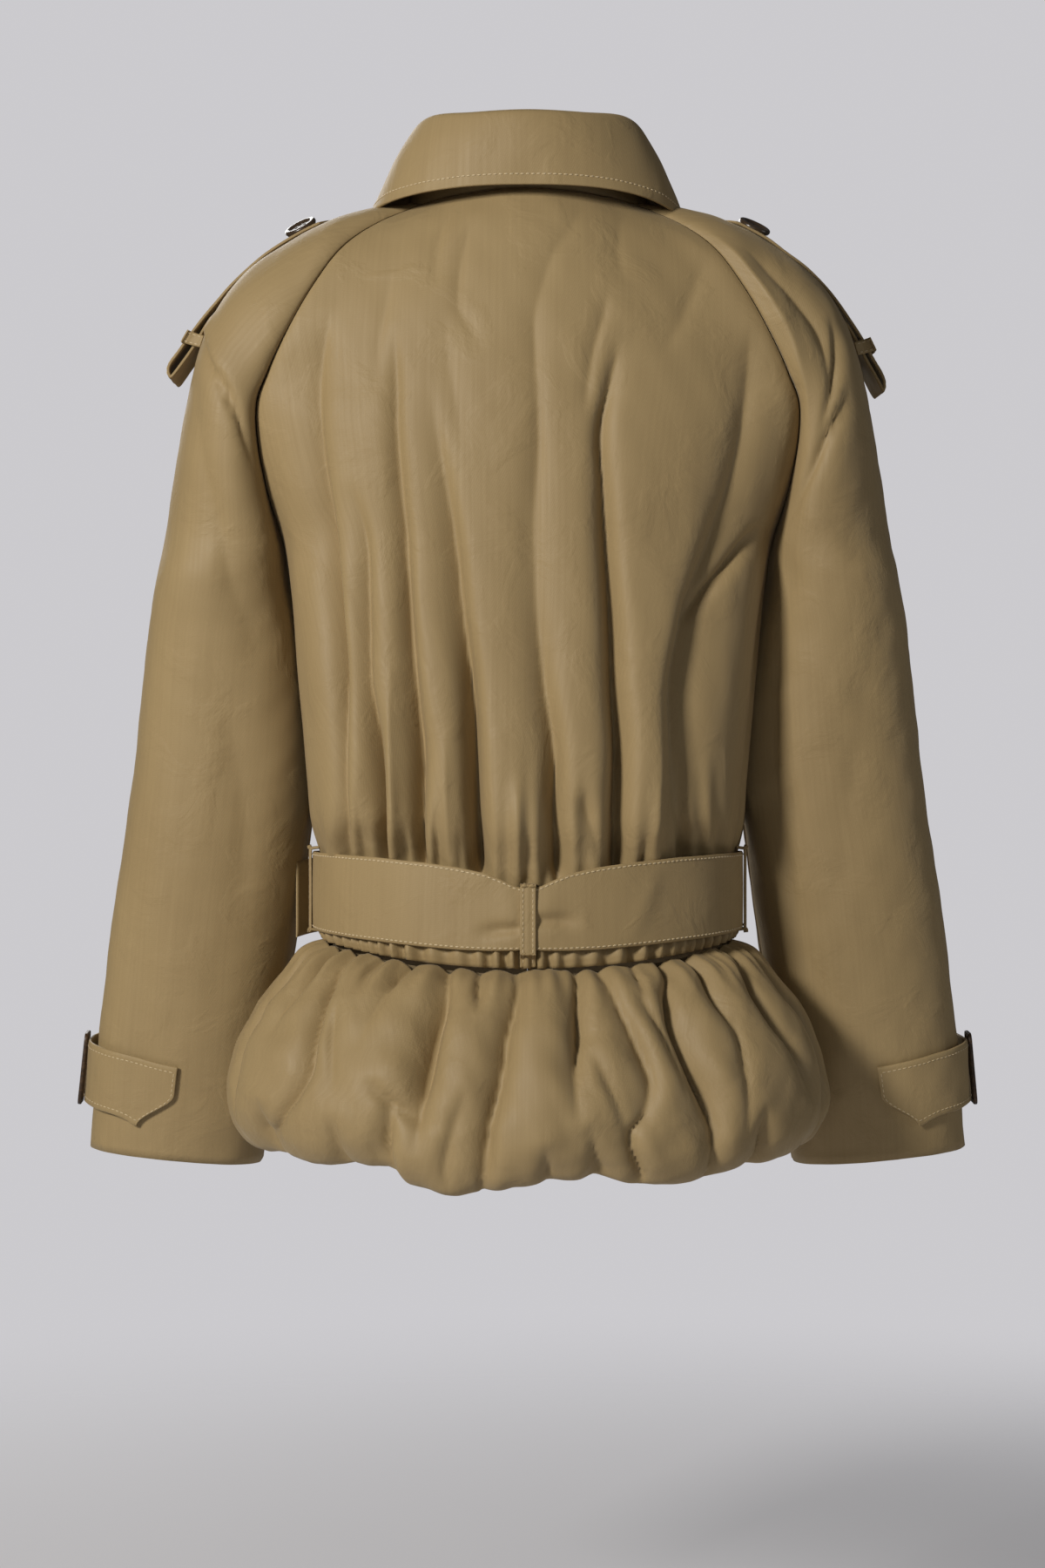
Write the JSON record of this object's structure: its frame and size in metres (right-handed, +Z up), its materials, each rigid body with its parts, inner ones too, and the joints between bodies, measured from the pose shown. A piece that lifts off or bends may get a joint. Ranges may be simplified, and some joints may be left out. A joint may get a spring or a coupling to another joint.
{
  "type": "peplum jacket",
  "caption": "Belted trench-style jacket with raglan sleeves, strapped shoulders and cuffs, a turned-down collar and a bubble peplum, held open in its worn form.",
  "frame": {"origin": "middle of the neck opening, level with the centre-back neck seam, where the wearer holds it", "axes": "+Z up, the front faces -Y, the wearer's left is +X"},
  "size_m": [0.6396, 0.3115, 0.7172],
  "materials": {
    "cloth": "khaki cotton with a satin-like sheen",
    "inner_cloth": "plain khaki cotton",
    "horn": "dark brown horn-like resin",
    "buckle": "dark brown polished resin"
  },
  "bodies": {
    "root": {"back": "cloth", "front_left": "cloth", "front_right": "cloth", "sleeve_left": "cloth", "sleeve_right": "cloth", "collar_stand": "cloth", "collar_fall": "cloth", "waist_casing": "cloth", "peplum_back": "cloth", "peplum_front_left": "cloth", "peplum_front_right": "cloth", "belt": "cloth", "belt_tail": "cloth", "belt_loop_back": "cloth", "belt_loop_left": "cloth", "belt_loop_right": "cloth", "epaulette_left": "cloth", "epaulette_right": "cloth", "epaulette_loop_left": "cloth", "epaulette_loop_right": "cloth", "cuff_strap_left": "cloth", "cuff_strap_right": "cloth", "peplum_inner": "inner_cloth", "front_button_1": "horn", "front_button_2": "horn", "front_button_3": "horn", "front_button_4": "horn", "front_button_5": "horn", "epaulette_button_left": "horn", "epaulette_button_right": "horn", "belt_buckle": "buckle", "cuff_buckle_left": "buckle", "cuff_buckle_right": "buckle"}
  },
  "joints": []
}
